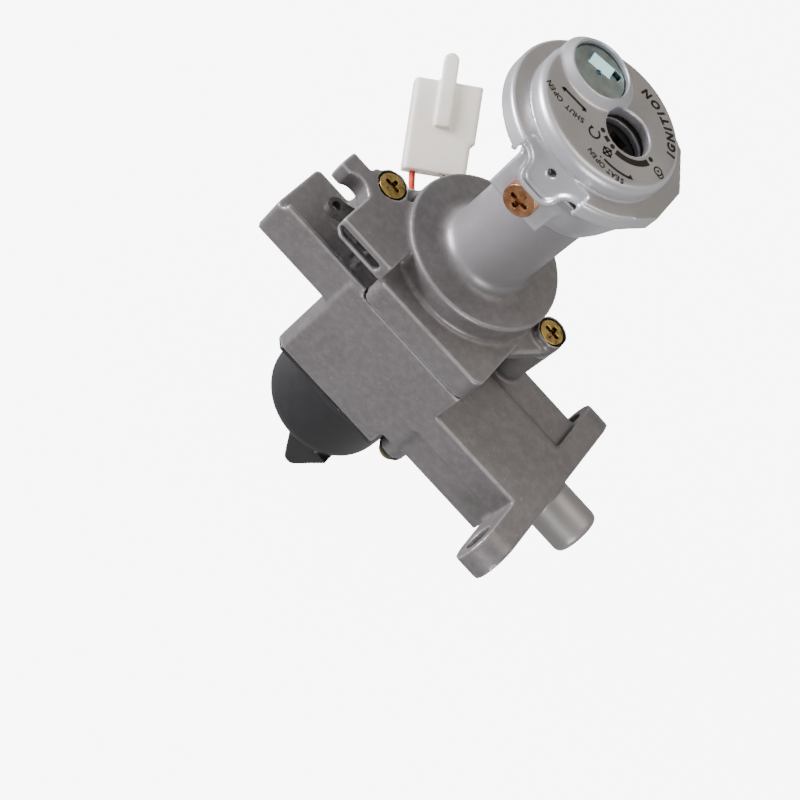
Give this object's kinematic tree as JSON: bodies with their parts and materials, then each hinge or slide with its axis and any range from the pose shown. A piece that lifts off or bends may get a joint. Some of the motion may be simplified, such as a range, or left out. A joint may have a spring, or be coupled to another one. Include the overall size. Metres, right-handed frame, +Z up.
{
  "type": "ignition switch",
  "caption": "Scooter ignition switch: key barrel under a shutter cover, steering lock bolt in a flanged nose, seat release in a cable tray, and an electric switch with a plugged lead.",
  "frame": {"origin": "middle of the mounting face, between the two flange holes, on the lock bolt's axis", "axes": "+X out of the mounting face along the lock bolt, +Z up along the key axis to the keyhole, +Y to the back, where the lead is"},
  "size_m": [0.1274, 0.0957, 0.1614],
  "materials": {
    "cast": "raw die casting, matte",
    "silver": "satin silver",
    "zinc_gold": "yellow zinc plate",
    "copper_plate": "copper plate",
    "plated": "bright plate",
    "steel": "turned",
    "brass": "machined",
    "contact_copper": "rolled strip",
    "black_plastic": "satin moulding",
    "milky_plastic": "natural nylon",
    "laminate": "pressed laminate",
    "sleeve": "matte",
    "red_insulation": "smooth",
    "orange_insulation": "smooth",
    "black_insulation": "smooth",
    "green_insulation": "smooth"
  },
  "bodies": {
    "housing": {"cover_cap": "silver", "cover_base": "silver", "cover_screw": "copper_plate", "cap_screws": "steel", "upper_housing": "cast", "lower_housing": "cast", "housing_screws": "zinc_gold", "dust_ring": "black_plastic", "lever_pin": "steel", "lever_spring": "steel", "bolt_spring": "steel", "switch_case": "black_plastic", "switch_screws": "zinc_gold", "contact_base": "laminate", "fixed_contacts": "brass", "lead_sleeve": "sleeve", "wire_red": "red_insulation", "wire_orange": "orange_insulation", "wire_black": "black_insulation", "wire_green": "green_insulation", "plug_housing": "milky_plastic", "plug_terminals": "brass"},
    "key_barrel": {"lock_plug": "brass", "wafer_1": "brass", "wafer_2": "brass", "wafer_3": "brass", "wafer_4": "brass", "wafer_5": "brass", "wafer_6": "brass", "wafer_springs": "steel", "plug_clip": "steel", "drive_shaft": "steel", "contact_carrier": "milky_plastic", "contact_bridge": "contact_copper", "contact_spring": "steel", "detent_ball": "steel", "detent_spring": "steel"},
    "bolt": {"lock_bolt": "steel", "bolt_shoe": "steel", "shoe_pin": "steel"},
    "shutter": {"magnet_rotor": "plated", "shutter_plate": "steel"},
    "lever": {"seat_lever": "steel"}
  },
  "joints": [
    {"name": "key_turn", "type": "hinge", "parent": "housing", "child": "key_barrel", "pos_m": [-0.064, 0.0136, 0.0361], "axis": [0, 0, 1], "range_deg": [-31.5, 87.4]},
    {"name": "lock_bolt", "type": "slide", "parent": "housing", "child": "bolt", "axis": [1, 0, 0], "range_m": [-0.00324, 0.009], "deforming": ["bolt_spring"]},
    {"name": "shutter_turn", "type": "hinge", "parent": "housing", "child": "shutter", "pos_m": [-0.0793, 0.0198, 0.0931], "axis": [0, 0, 1], "range_deg": [0, 52]},
    {"name": "seat_release_lever", "type": "hinge", "parent": "housing", "child": "lever", "pos_m": [-0.088, -0.0014, 0.0241], "axis": [0, 0, 1], "range_deg": [0, 25], "stiffness_Nm_per_rad": 0.05, "springref_deg": -11.46}
  ],
  "couplings": [
    {"joint": "key_turn", "follows": "lock_bolt", "rad_per_m": 169.49}
  ]
}
